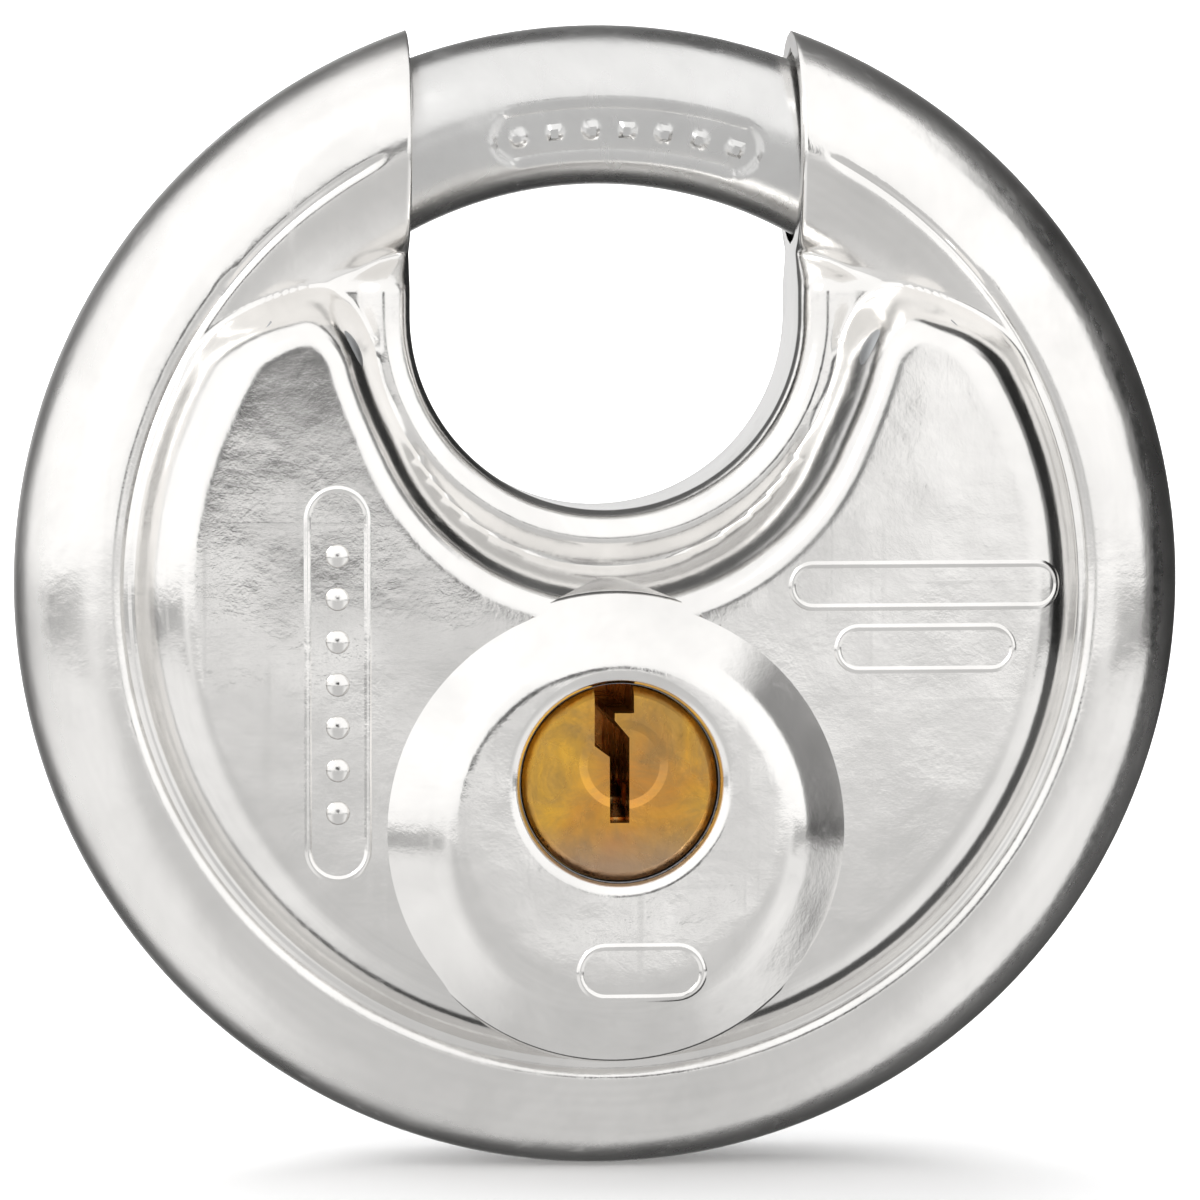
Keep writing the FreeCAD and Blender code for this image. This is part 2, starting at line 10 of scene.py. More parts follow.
import bmesh
import bpy
import numpy as np
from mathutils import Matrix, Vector


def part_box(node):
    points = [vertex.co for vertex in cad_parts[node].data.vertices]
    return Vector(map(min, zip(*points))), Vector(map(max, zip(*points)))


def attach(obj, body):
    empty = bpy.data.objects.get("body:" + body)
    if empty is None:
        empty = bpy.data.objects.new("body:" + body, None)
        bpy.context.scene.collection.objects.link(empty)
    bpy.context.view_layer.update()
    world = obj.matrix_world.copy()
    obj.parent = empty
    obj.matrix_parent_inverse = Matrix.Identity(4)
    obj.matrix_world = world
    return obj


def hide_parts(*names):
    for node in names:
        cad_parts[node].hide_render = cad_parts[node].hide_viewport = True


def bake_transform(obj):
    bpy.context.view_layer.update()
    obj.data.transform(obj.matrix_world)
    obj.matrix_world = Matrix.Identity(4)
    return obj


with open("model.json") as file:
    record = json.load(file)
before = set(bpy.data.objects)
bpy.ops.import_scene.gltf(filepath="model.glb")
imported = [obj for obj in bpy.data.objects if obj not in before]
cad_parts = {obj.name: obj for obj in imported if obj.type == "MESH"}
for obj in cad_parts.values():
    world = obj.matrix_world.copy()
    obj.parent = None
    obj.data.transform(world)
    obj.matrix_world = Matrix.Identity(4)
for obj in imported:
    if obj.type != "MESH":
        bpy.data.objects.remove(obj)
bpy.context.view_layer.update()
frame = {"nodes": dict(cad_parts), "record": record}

# ---- sizes, in mm: the CAD's, or a little inside them ----
RING, TUBE, RACEWAY = 28.6, 6.4, 5.2  # middle of the rim's tube, the tube's outside and its inside
RIM = RING + TUBE
INSET = 0.004  # keeps the rim inside the CAD's box
SLOT_R, SLOT_Y = 11.55, 16.1  # the opening
BITE_R, BITE_Y = 13.2, 13.9  # the kidney's inner arc
PLATEAU_R, PLATEAU_H, LOBE_TOP, LOBE_R = 27.9, 11.4, 17.4, 4.2
PLATEAU_FOOT, CROWN_DROP = 4.3, 0.32  # height of the flank's foot, and how far the crown falls away
FLANK_OUT, FLANK_EASE = 0.45, 2.9  # how far out the flank begins, and how strongly it eases over
FLOOR = 5.45
GROOVE_R, GROOVE = 28.62, 0.2  # the fine line along the rim, and its depth and half width
BOSS_R, BOSS_Y, BOSS_H = 13.8, -13.7, 14.02
BOSS_FOOT, BOSS_LAP = 10.9, 0.75  # height of its foot, and how far it and the shell run past that
BOSS_CONE, BOSS_EASE = 2.6, 1.74  # width of the boss's sloping flank, and of the round above it
HOLE_R, PLUG_Y, HOLE_LOW = 5.85, -10.9, 12.1  # the plug's hole, and the lower end of its wall
SHEET = 1.2
BAR, BAR_CHAMFER = 4.745, 0.7


def smooth(low, high, x):
    t = np.clip((x - low) / (high - low), 0, 1)
    return t * t * (3 - 2 * t)


def smooth_max(a, b, k):
    blend = np.maximum(k - np.abs(a - b), 0) / k
    return np.maximum(a, b) + blend * blend * k * 0.25


def rounding(radius, distance):
    """How far a rounded edge has dropped at that distance from it."""
    inside = np.clip(radius - distance, 0, radius)
    return radius - np.sqrt(np.maximum(radius**2 - inside**2, 0))


def slot_distance(x, y):
    """Distance from the opening's wall, positive in the sheet."""
    return np.where(y > SLOT_Y, np.abs(x) - SLOT_R, np.hypot(x, y - SLOT_Y) - SLOT_R)


def kidney_distance(x, y):
    """Distance inside the kidney's outline with its lobes rounded, then inside its two arcs alone."""
    outer = PLATEAU_R - np.hypot(x, y)
    flare = 1.3 * smooth(8, 17, y)  # the outline spreads away from the opening at the lobes
    bite = np.hypot(x, y - BITE_Y) - BITE_R - flare
    crown = LOBE_TOP - y
    away = [np.maximum(LOBE_R - d, 0) for d in (outer, bite, crown)]
    nearest = np.minimum(np.minimum(outer, bite), crown)
    distance = np.maximum(LOBE_R, nearest) - np.sqrt(away[0] ** 2 + away[1] ** 2 + away[2] ** 2)
    return distance, outer, bite


def plateau_height(x, y):
    """Height of the raised kidney: a flank that eases over into a slightly domed crown."""
    distance, outer, bite = kidney_distance(x, y)
    width = 3.5 + 0.7 * smooth(-2, 3, bite - outer)  # wider along the outer arc than along the bite
    t = (distance + FLANK_OUT) / width
    crown = PLATEAU_H - CROWN_DROP * (np.hypot(x, y + 2) / 25) ** 2
    raised = 1 - (1 - np.clip(t, 0, 1)) ** FLANK_EASE
    below = FLANK_EASE * np.minimum(t, 0)  # the flank runs on down below its foot
    return PLATEAU_FOOT + (crown - PLATEAU_FOOT) * (raised + below)


def outside_height(x, y):
    """Height of the formed sheet's outside above the seam."""
    radius = np.hypot(x, y)
    distance = np.maximum(slot_distance(x, y), 0)
    tube = np.sqrt(np.maximum(TUBE**2 - (radius - RING) ** 2, 0))
    ledge = FLOOR + 0.12 - 0.5 * smooth(1.5, 3.3, distance)
    ledge = ledge * smooth(29.8, 27.6, radius) * smooth(22.5, 17.5, y)  # none on the horns
    height = smooth_max(tube, ledge, 0.7)
    fillet = 1.5 + 1.7 * smooth(11, 16, y)  # wider where the lobes run into the rim
    height = smooth_max(height, plateau_height(x, y), fillet)
    groove = GROOVE * np.exp(-(((radius - GROOVE_R) / GROOVE) ** 2))
    height = height - groove * smooth(1.2, 3.0, distance)
    edge = 1.9 - 1.6 * smooth(18.2, 20.6, y)  # a wide round along the opening, a sharp one on the horns
    return np.maximum(height - rounding(edge, distance), 0)


def inside_height(x, y, outside):
    """Height of the sheet's inside: the raceway and the hollow under the plateau."""
    radius = np.hypot(x, y)
    distance = slot_distance(x, y)
    raceway = np.sqrt(np.maximum(RACEWAY**2 - (radius - RING) ** 2, 0))
    hollow = (FLOOR - SHEET - 0.1) * smooth(1.0, 1.9, distance) * (radius < RING)
    raised = (plateau_height(x, y) - SHEET) * smooth(1.6, 2.6, kidney_distance(x, y)[0])
    inside = np.maximum(np.maximum(raceway, hollow), raised)
    return np.minimum(inside, np.maximum(outside - 0.85, 0))


def boss_height(x, y):
    """Height of the boss's outside: a sloping flank that eases over into a nearly flat face."""
    reach = BOSS_R - np.hypot(x, y - BOSS_Y)
    over = np.clip(reach - BOSS_CONE, 0, BOSS_EASE)
    rise = np.minimum(reach, BOSS_CONE) + over - over**2 / (2 * BOSS_EASE)
    dome = BOSS_FOOT + (BOSS_H - BOSS_FOOT) * rise / (BOSS_CONE + BOSS_EASE / 2)
    dish = 0.07 * smooth(8.6, 5.0, np.hypot(x, y - BOSS_Y))
    return np.where(reach < 0, BOSS_FOOT + reach * 7.0, dome) - dish


# ---- mesh helpers ----


def emit(name, x, y, h, faces, body, material, nodes=(), side=1, sharp=38):
    """A piece from points in the lock's plane.

    side is 1 for the key side, -1 for the back. body is None for a piece that is left without a body.
    """
    x, y, h = (np.asarray(a, dtype=float).ravel() for a in (x, y, h))
    points = np.stack([x, -side * h, y], axis=1) / 1000
    faces = np.asarray(faces)
    if side < 0:
        faces = faces[:, ::-1]
    mesh = bpy.data.meshes.new(name)
    mesh.from_pydata(points.tolist(), [], [tuple(dict.fromkeys(f)) for f in faces.tolist()])
    mesh.validate()
    mesh.polygons.foreach_set("use_smooth", [True] * len(mesh.polygons))
    mesh.set_sharp_from_angle(angle=math.radians(sharp))
    mesh.materials.append(material)
    piece = bpy.data.objects.new(name, mesh)
    bpy.context.scene.collection.objects.link(piece)
    if body:
        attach(piece, body)
    if nodes:
        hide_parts(*nodes)
    return piece


def grid_faces(columns, rows, closed=False, flip=False):
    """Quads of a grid of columns x rows points, numbered row by row within each column."""
    last = columns if closed else columns - 1
    u, v = np.meshgrid(np.arange(last), np.arange(rows - 1), indexing="ij")
    a = u * rows + v
    b = ((u + 1) % columns) * rows + v
    quads = np.stack([a, a + 1, b + 1, b], axis=-1).reshape(-1, 4)
    return quads[:, ::-1] if flip else quads


def tube_faces(rings, around):
    """Quads of a tube of rings x around points, closed round but open at its ends."""
    last = np.arange(rings - 1) * around + around - 1
    seam = np.stack([last, last - around + 1, last + 1, last + around], axis=1)
    return np.concatenate([grid_faces(rings, around), seam])


def close_holes(piece):
    work = bmesh.new()
    work.from_mesh(piece.data)
    bmesh.ops.holes_fill(work, edges=[e for e in work.edges if e.is_boundary], sides=0)
    bmesh.ops.recalc_face_normals(work, faces=work.faces)
    work.to_mesh(piece.data)
    work.free()


# ---- case ----
COLUMNS = 520
STEPS = (12, 26, 24, 46, 26)  # rows in each stretch from the opening to the rim
CROWDED_R = 24.2  # outside this radius the rows lie closer together


def to_circle(px, py, ux, uy, radius):
    """Distance along the ray from (px, py) in direction (ux, uy) to a circle about the middle."""
    along = px * ux + py * uy
    return -along + np.sqrt(np.maximum(along**2 - (px**2 + py**2) + radius**2, 0))


def case_points():
    """x and y of the horseshoe's points, one column per ray from the middle of the opening."""
    tip_y = math.sqrt((RIM - 0.01) ** 2 - SLOT_R**2)
    tip = math.atan2(tip_y - SLOT_Y, SLOT_R)
    angle = np.linspace(tip, -math.pi - tip, COLUMNS)
    ux, uy = np.cos(angle), np.sin(angle)
    reach = np.where(uy > 0, SLOT_R / np.maximum(np.abs(ux), 1e-6), SLOT_R)
    px, py = reach * ux, SLOT_Y + reach * uy
    full = to_circle(px, py, ux, uy, RIM)
    # where the stretches end, as distances along each ray
    first = np.minimum(2.3, 0.12 * full)
    second = np.minimum(6.5, 0.3 * full)
    third = np.maximum(to_circle(px, py, ux, uy, CROWDED_R), 0.45 * full)
    fourth = np.maximum(to_circle(px, py, ux, uy, RING), 0.6 * full)
    third = np.minimum(third, fourth - 0.1 * full)
    rows = [first * (1 - math.cos(math.pi / 2 * k / STEPS[0])) for k in range(STEPS[0])]
    stretches = ((first, second, STEPS[1]), (second, third, STEPS[2]), (third, fourth, STEPS[3]))
    for low, high, count in stretches:
        rows += [low + (high - low) * k / count for k in range(count)]
    # from the top of the tube down almost to the seam, in even turns
    top_x, top_y = px + fourth * ux, py + fourth * uy
    lean = np.arcsin(np.clip((np.hypot(top_x, top_y) - RING) / TUBE, -1, 1))
    for k in range(STEPS[4] + 1):
        turn = lean + (math.radians(88.9) - lean) * k / STEPS[4]
        radius = RING + (TUBE - INSET) * np.sin(turn)
        rows.append(np.minimum(to_circle(px, py, ux, uy, radius), full))
    rows.append(rows[-1])  # the seam lies straight under the row before it
    travel = np.stack(rows, axis=1)
    travel = np.maximum.accumulate(np.maximum(travel, 0), axis=1)
    return px[:, None] + travel * ux[:, None], py[:, None] + travel * uy[:, None]


def side_faces(quads, offset, rim):
    """Quads that close the outer surface's open edges to the inner one's, but for those on the rim."""
    edges = np.concatenate([quads[:, [k, (k + 1) % 4]] for k in range(4)])
    limit = quads.max() + 1
    forward = edges[:, 0] * limit + edges[:, 1]
    backward = edges[:, 1] * limit + edges[:, 0]
    open_edges = edges[~np.isin(forward, backward)]
    both_on_rim = rim[open_edges[:, 0]] & rim[open_edges[:, 1]]
    open_edges = open_edges[~both_on_rim]
    a, b = open_edges[:, 0], open_edges[:, 1]
    return np.stack([b, a, a + offset, b + offset], axis=1)


def build_shell(name, side, with_boss, material):
    """One half of the case, outside and inside, with a round hole under the boss if it has one."""
    x, y = case_points()
    columns, rows = x.shape
    top = outside_height(x, y)
    top[:, -1] = 0
    low = inside_height(x, y, top)
    low[:, -1] = 0
    count = columns * rows
    outer = grid_faces(columns, rows)
    inner = outer[:, ::-1] + count
    flat_x, flat_y = x.ravel(), y.ravel()
    keep = np.ones(len(outer), dtype=bool)
    if with_boss:
        mid_x, mid_y = flat_x[outer].mean(axis=1), flat_y[outer].mean(axis=1)
        keep = np.hypot(mid_x, mid_y - BOSS_Y) > BOSS_R - BOSS_LAP
    rim = np.tile(np.arange(rows) == rows - 1, columns)
    quads = np.concatenate([outer[keep], inner[keep], side_faces(outer[keep], count, rim)])
    last_row = np.flatnonzero(rim)
    quads[np.isin(quads, last_row + count)] -= count  # the sheet closes to an edge at the seam
    return emit(
        name,
        np.concatenate([flat_x, flat_x]),
        np.concatenate([flat_y, flat_y]),
        np.concatenate([top.ravel(), low.ravel()]),
        quads,
        "case",
        material,
        [name.replace("_formed", "")],
        side,
    )


def build_boss(material):
    """The round boss with the rolled-in hole for the plug."""
    columns, wall_rows, face_rows, flank_rows = 240, 4, 8, 30
    lip = (0.02, 0.08, 0.18, 0.3, 0.45, 0.62, 0.8)  # distances of the rows on the hole's rolled edge
    flank = 4.0  # width of the outermost stretch, where the rows lie close
    turn = np.linspace(0, 2 * math.pi, columns, endpoint=False)
    cos, sin = np.cos(turn)[:, None], np.sin(turn)[:, None]
    inner_x, inner_y = HOLE_R * cos, PLUG_Y + HOLE_R * sin
    outer_x, outer_y = (BOSS_R + BOSS_LAP) * cos, BOSS_Y + (BOSS_R + BOSS_LAP) * sin
    span = np.hypot(outer_x - inner_x, outer_y - inner_y)
    share = [np.zeros((columns, 1))]
    share += [np.minimum(e / span, 0.2 * e / lip[-1]) for e in lip]
    start = share[-1]
    slope_start = np.maximum(1 - flank / span, start + 0.1)
    share += [start + (slope_start - start) * k / face_rows for k in range(1, face_rows)]
    share += [slope_start + (1 - slope_start) * k / flank_rows for k in range(flank_rows + 1)]
    share = np.concatenate(share, axis=1)
    x = inner_x + (outer_x - inner_x) * share
    y = inner_y + (outer_y - inner_y) * share
    edge = np.hypot(x, y - PLUG_Y) - HOLE_R
    height = boss_height(x, y) - rounding(0.7, np.maximum(edge, 0))
    wall = np.linspace(HOLE_LOW, height[:, :1].mean() - 0.02, wall_rows)
    x, y = (np.concatenate([np.repeat(a[:, :1], wall_rows, axis=1), a], axis=1) for a in (x, y))
    height = np.concatenate([np.tile(wall, (columns, 1)), height], axis=1)
    under = np.minimum(height - 0.9, HOLE_LOW - 0.1)
    under[:, :wall_rows] = HOLE_LOW
    rows = x.shape[1]
    count = columns * rows
    outer = grid_faces(columns, rows, closed=True, flip=True)
    inner = grid_faces(columns, rows, closed=True) + count
    first = np.arange(columns) * rows
    end = first + rows - 1
    after = np.roll(end, -1)
    skirt = np.stack([after, end, end + count, after + count], axis=1)
    quads = np.concatenate([outer, inner, skirt])
    for row in range(wall_rows):
        quads[np.isin(quads, first + row + count)] -= count  # the hole's wall is a single surface
    return emit(
        "boss_formed",
        np.concatenate([x.ravel(), x.ravel()]),
        np.concatenate([y.ravel(), y.ravel()]),
        np.concatenate([height.ravel(), under.ravel()]),
        quads,
        "case",
        material,
    )


# ---- shackle ----
BAR_START, BAR_END = 56.0, 280.0  # degrees from x
SEAT_MIDDLE, SEAT_HALF, SEAT_R = -121.0, 30.0, 24.2  # the flat for the carrier's tab
MARK_TURN, MARK_LEAN = 87.2, 110.0  # where the stamped oval lies along and round the bar
DOTS = range(-3, 4)


def signed_degrees(turn, middle):
    """Angle from middle, between -180 and 180 degrees."""
    return (np.degrees(turn) - middle + 180) % 360 - 180


def oval_distance(u, v, half_length, radius):
    """Distance outside a round-ended bar of that half length and radius."""
    along = np.maximum(np.abs(u) - (half_length - radius), 0)
    return np.hypot(along, v) - radius


def build_shackle(material):
    """The bent bar, bevelled at both ends, with a flat for the carrier's tab and a stamped oval."""
    around = 108
    along = 460
    cap_rings = 8
    bevel_turn = math.degrees(BAR_CHAMFER / RING)
    theta = np.concatenate(
        [
            [BAR_START] * cap_rings,
            np.linspace(BAR_START, BAR_START + bevel_turn, 4)[1:],
            np.linspace(BAR_START + bevel_turn, BAR_END - bevel_turn, along)[1:-1],
            np.linspace(BAR_END - bevel_turn, BAR_END, 4)[:-1],
            [BAR_END] * cap_rings,
        ]
    )
    core = BAR - BAR_CHAMFER
    cap = np.linspace(0.02, core, cap_rings)
    bevel = np.array([core + BAR_CHAMFER * math.sin(math.radians(a)) for a in (30, 60, 90)])
    radius = np.concatenate([cap, bevel, np.full(along - 2, BAR), bevel[::-1], cap[::-1]])
    phi = np.linspace(0, 2 * math.pi, around, endpoint=False)
    t, p = np.meshgrid(np.radians(theta), phi, indexing="ij")
    rho = np.repeat(radius[:, None], around, axis=1)
    # a stamped oval on the key side, with a row of raised dots on its floor
    mark_u = np.radians(np.degrees(t) - MARK_TURN) * RING
    mark_v = np.radians(signed_degrees(p, MARK_LEAN)) * BAR
    rho = rho - 0.32 * smooth(0.05, -0.3, oval_distance(mark_u, mark_v, 8.6, 1.75))
    dots = np.zeros_like(rho)
    for k in DOTS:
        dots = np.maximum(dots, smooth(0.62, 0.35, np.hypot(mark_u - 2.3 * k, mark_v)))
    rho = np.minimum(rho + 0.26 * dots, BAR)
    out = RING + rho * np.cos(p)
    seat = np.abs(signed_degrees(t, SEAT_MIDDLE)) < SEAT_HALF
    out = np.where(seat, np.maximum(out, SEAT_R + 0.02), out)
    piece = emit(
        "shackle_bar",
        out * np.cos(t),
        out * np.sin(t),
        rho * np.sin(p),
        tube_faces(len(theta), around)[:, ::-1],
        "shackle_set",
        material,
        ["shackle"],
        sharp=32,
    )
    close_holes(piece)
    return piece


# ---- pin springs ----
WIRE, COIL = 0.18, 0.9  # radius of the wire, and of the coil to the wire's middle
END_PITCH, TURNS = 0.5, 2.6


def coil_points(low, high):
    """Points and quads of a wound wire about the vertical, its end turns lying close."""
    rings, around = 130, 10
    turned = np.linspace(0, TURNS, rings)
    climb = np.interp(turned, [0, 1, TURNS - 1, TURNS], [low, low + END_PITCH, high - END_PITCH, high])
    phi = np.linspace(0, 2 * math.pi, around, endpoint=False)
    out = COIL + WIRE * np.cos(phi)[None, :]
    x = out * np.cos(2 * math.pi * turned)[:, None]
    h = out * np.sin(2 * math.pi * turned)[:, None]
    y = climb[:, None] + WIRE * np.sin(phi)[None, :]
    return x, y, h, tube_faces(rings, around)


def build_springs(material):
    """A wound coil under each driver pin."""
    for n in range(1, 6):
        name = f"pin_spring_{n}"
        low, high = (np.array(corner) * 1000 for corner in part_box(name))
        mid = (low + high) / 2
        start, end = low[2] + WIRE, high[2] - WIRE
        x, y, h, quads = coil_points(start, end)
        piece = emit(
            f"{name}_wound", x + mid[0], y, h - mid[1], quads, None, material, [name]
        )
        close_holes(piece)
        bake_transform(piece)


# ---- stamped marks, all plain ----


def bead(cx, cy, half_length, radius, tilt, height_at):
    """A closed raised line in the form of a round-ended bar, as points and quads."""
    width, rise, straight = 0.2, 0.13, 24
    half_turn = np.linspace(0, math.pi, 18)[:-1]
    reach = half_length - radius
    path = [(-reach + 2 * reach * k / straight, -radius) for k in range(straight)]
    path += [(reach + radius * math.sin(a), -radius * math.cos(a)) for a in half_turn]
    path += [(reach - 2 * reach * k / straight, radius) for k in range(straight)]
    path += [(-reach - radius * math.sin(a), radius * math.cos(a)) for a in half_turn]
    path = np.array(path)
    heading = np.roll(path, -1, axis=0) - np.roll(path, 1, axis=0)
    heading /= np.maximum(np.linalg.norm(heading, axis=1), 1e-9)[:, None]
    outward = np.stack([heading[:, 1], -heading[:, 0]], axis=1)
    slope = [(-1.25, -0.25), (-0.8, 0.35), (-0.35, 0.85)]
    section = slope + [(0, 1.0)] + [(-across, lift) for across, lift in slope[::-1]]
    xs, ys, hs = [], [], []
    cos, sin = math.cos(tilt), math.sin(tilt)
    for across, lift in section:
        px, py = (path + outward * across * width).T
        xs.append(cx + cos * px - sin * py)
        ys.append(cy + sin * px + cos * py)
        hs.append(height_at(xs[-1], ys[-1]) + lift * rise)
    x, y, h = (np.stack(v, axis=1) for v in (xs, ys, hs))
    quads = grid_faces(len(path), len(section), closed=True)
    base = np.arange(len(path)) * len(section)
    after = np.roll(base, -1)
    under = np.stack([base, after, after + len(section) - 1, base + len(section) - 1], axis=1)
    return x, y, h, np.concatenate([quads, under])


def stud(cx, cy, radius, height_at):
    """A low round dot."""
    rise = 0.24
    rings = [(1.25, -0.3), (0.95, 0.45), (0.7, 0.85), (0.4, 1.0), (0.02, 1.05)]
    turn = np.linspace(0, 2 * math.pi, 20, endpoint=False)
    x = np.stack([cx + radius * k * np.cos(turn) for k, _ in rings], axis=1)
    y = np.stack([cy + radius * k * np.sin(turn) for k, _ in rings], axis=1)
    lift = np.tile([v * rise for _, v in rings], (len(turn), 1))
    return x, y, height_at(x, y) + lift, grid_faces(len(turn), len(rings), closed=True)


def build_marks(material):
    """Plain outlines, one with a row of dots, where such locks carry stamped marks."""
    row_x, row_y, pitch = -16.3, -5.2, 2.5
    parts = [bead(row_x, row_y, 11.4, 1.75, math.pi / 2, outside_height)]
    parts += [stud(row_x, row_y + pitch * k, 0.62, outside_height) for k in DOTS]
    parts.append(bead(18.2, 0.4, 7.9, 1.25, 0, outside_height))
    parts.append(bead(18.2, -3.3, 5.2, 1.25, 0, outside_height))
    parts.append(bead(1.2, -21.9, 3.6, 1.5, 0, boss_height))
    quads, total = [], 0
    for x, _, _, faces in parts:
        quads.append(faces + total)
        total += x.size
    x, y, h = (np.concatenate([part[axis].ravel() for part in parts]) for axis in range(3))
    piece = emit("stamped_marks", x, y, h, np.concatenate(quads), "case", material)
    close_holes(piece)
    return piece


# ---- materials ----
MICRON = 1e-6


class Graph:
    """Short calls for building a node tree."""

    def __init__(self, tree):
        self.tree = tree
        tree.nodes.clear()

    def add(self, kind, **settings):
        node = self.tree.nodes.new(kind)
        for key, setting in settings.items():
            setattr(node, key, setting)
        return node

    def link(self, a, b):
        self.tree.links.new(a, b)

    def math(self, operation, a, b=0.0):
        node = self.add("ShaderNodeMath", operation=operation)
        for socket, source in zip(node.inputs, (a, b)):
            if isinstance(source, (int, float)):
                socket.default_value = source
            else:
                self.link(source, socket)
        return node.outputs[0]

    def fit(self, source, low, high, to_low, to_high, curve="LINEAR"):
        node = self.add("ShaderNodeMapRange", interpolation_type=curve)
        ends = {"From Min": low, "From Max": high, "To Min": to_low, "To Max": to_high}
        for socket, number in ends.items():
            node.inputs[socket].default_value = number
        self.link(source, node.inputs["Value"])
        return node.outputs["Result"]

    def ease(self, *numbers):
        return self.fit(*numbers, curve="SMOOTHSTEP")

    def product(self, *factors):
        total = factors[0]
        for factor in factors[1:]:
            total = self.math("MULTIPLY", total, factor)
        return total


class Surface(Graph):
    """A material of one principled shader."""

    def __init__(self, name):
        self.material = bpy.data.materials.new(name)
        self.material.use_nodes = True
        super().__init__(self.material.node_tree)
        out = self.add("ShaderNodeOutputMaterial")
        self.shader = self.add("ShaderNodeBsdfPrincipled")
        self.link(self.shader.outputs[0], out.inputs[0])
        self.place = self.add("ShaderNodeTexCoord").outputs["Object"]

    def noise(self, scale, detail=3.0, stretch=(1, 1, 1), roughness=0.5, distortion=0.0):
        mapping = self.add("ShaderNodeMapping")
        mapping.inputs["Scale"].default_value = stretch
        self.link(self.place, mapping.inputs["Vector"])
        node = self.add("ShaderNodeTexNoise")
        node.inputs["Scale"].default_value = scale
        node.inputs["Detail"].default_value = detail
        node.inputs["Roughness"].default_value = roughness
        node.inputs["Distortion"].default_value = distortion
        self.link(mapping.outputs[0], node.inputs["Vector"])
        return node.outputs["Fac"]

    def in_plane(self):
        """The surface point's place, flattened to the lock's plane."""
        flat = self.add("ShaderNodeVectorMath", operation="MULTIPLY")
        flat.inputs[1].default_value = (1, 0, 1)
        self.link(self.place, flat.inputs[0])
        return flat.outputs[0]

    def mix(self, factor, a, b):
        node = self.add("ShaderNodeMix", data_type="RGBA")
        self.link(factor, node.inputs["Factor"])
        for socket, source in ((node.inputs[6], a), (node.inputs[7], b)):
            if isinstance(source, tuple):
                socket.default_value = (*source, 1)
            else:
                self.link(source, socket)
        return node.outputs[2]

    def bump(self, layers):
        """Bumps in a chain, from (height, depth in metres) pairs."""
        normal = None
        for height, depth in layers:
            node = self.add("ShaderNodeBump")
            node.inputs["Strength"].default_value = 1.0
            node.inputs["Distance"].default_value = depth
            self.link(height, node.inputs["Height"])
            if normal:
                self.link(normal, node.inputs["Normal"])
            normal = node.outputs[0]
        self.link(normal, self.shader.inputs["Normal"])

    def set(self, socket, setting):
        self.shader.inputs[socket].default_value = setting

    def feed(self, socket, source):
        self.link(source, self.shader.inputs[socket])


def rubbed_edge(m):
    """1 on the rim's outermost band, where the sheet is rubbed dull, with an uneven border."""
    size = m.add("ShaderNodeVectorMath", operation="LENGTH")
    m.link(m.in_plane(), size.inputs[0])
    uneven = m.math("MULTIPLY", m.noise(1800, roughness=0.7), 1200 * MICRON)
    radius = m.math("ADD", size.outputs["Value"], uneven)
    return m.fit(radius, (RIM - 1.6) / 1000, (RIM - 0.8) / 1000, 0, 1)


def polished_steel(name, tone, rough, wave):
    """Formed and polished sheet: slow waves, fine scratches two ways, haze and a little dirt."""
    m = Surface(name)
    m.set("Metallic", 1.0)
    haze = m.noise(110, 4, roughness=0.6)
    scratch_a = m.noise(900, 2, (1, 1, 0.03), 0.7)
    scratch_b = m.noise(900, 2, (0.05, 1, 1), 0.7)
    grain = m.noise(3600, 2, roughness=0.7)
    dirt = m.fit(m.noise(60, 5, roughness=0.65, distortion=0.4), 0.42, 0.72, 0, 1)
    m.feed("Base Color", m.mix(dirt, tone, tuple(c * 0.84 for c in tone)))
    scratches = m.math("MAXIMUM", m.fit(scratch_a, 0.6, 0.78, 0, 1), m.fit(scratch_b, 0.62, 0.8, 0, 0.8))
    base = m.fit(haze, 0.3, 0.75, rough * 0.75, rough * 1.45)
    base = m.math("ADD", base, m.math("MULTIPLY", rubbed_edge(m), 0.14))
    m.feed("Roughness", m.math("ADD", base, m.math("MULTIPLY", scratches, 0.1)))
    ripple, peel = m.noise(75, 2), m.noise(420, 2)
    m.bump([(ripple, wave), (peel, wave * 0.12), (scratches, 3 * MICRON), (grain, 5 * MICRON)])
    return m.material


def turned_brass(name, tone, dark, rough):
    m = Surface(name)
    m.set("Metallic", 1.0)
    stain = m.fit(m.noise(230, 5, roughness=0.65, distortion=0.6), 0.35, 0.68, 0, 1)
    m.feed("Base Color", m.mix(stain, tone, dark))
    m.feed("Roughness", m.fit(m.noise(400, 4), 0.3, 0.7, rough * 0.8, rough * 1.4))
    m.bump([(m.noise(380), 60 * MICRON), (m.noise(4200, 2), 6 * MICRON)])
    return m.material


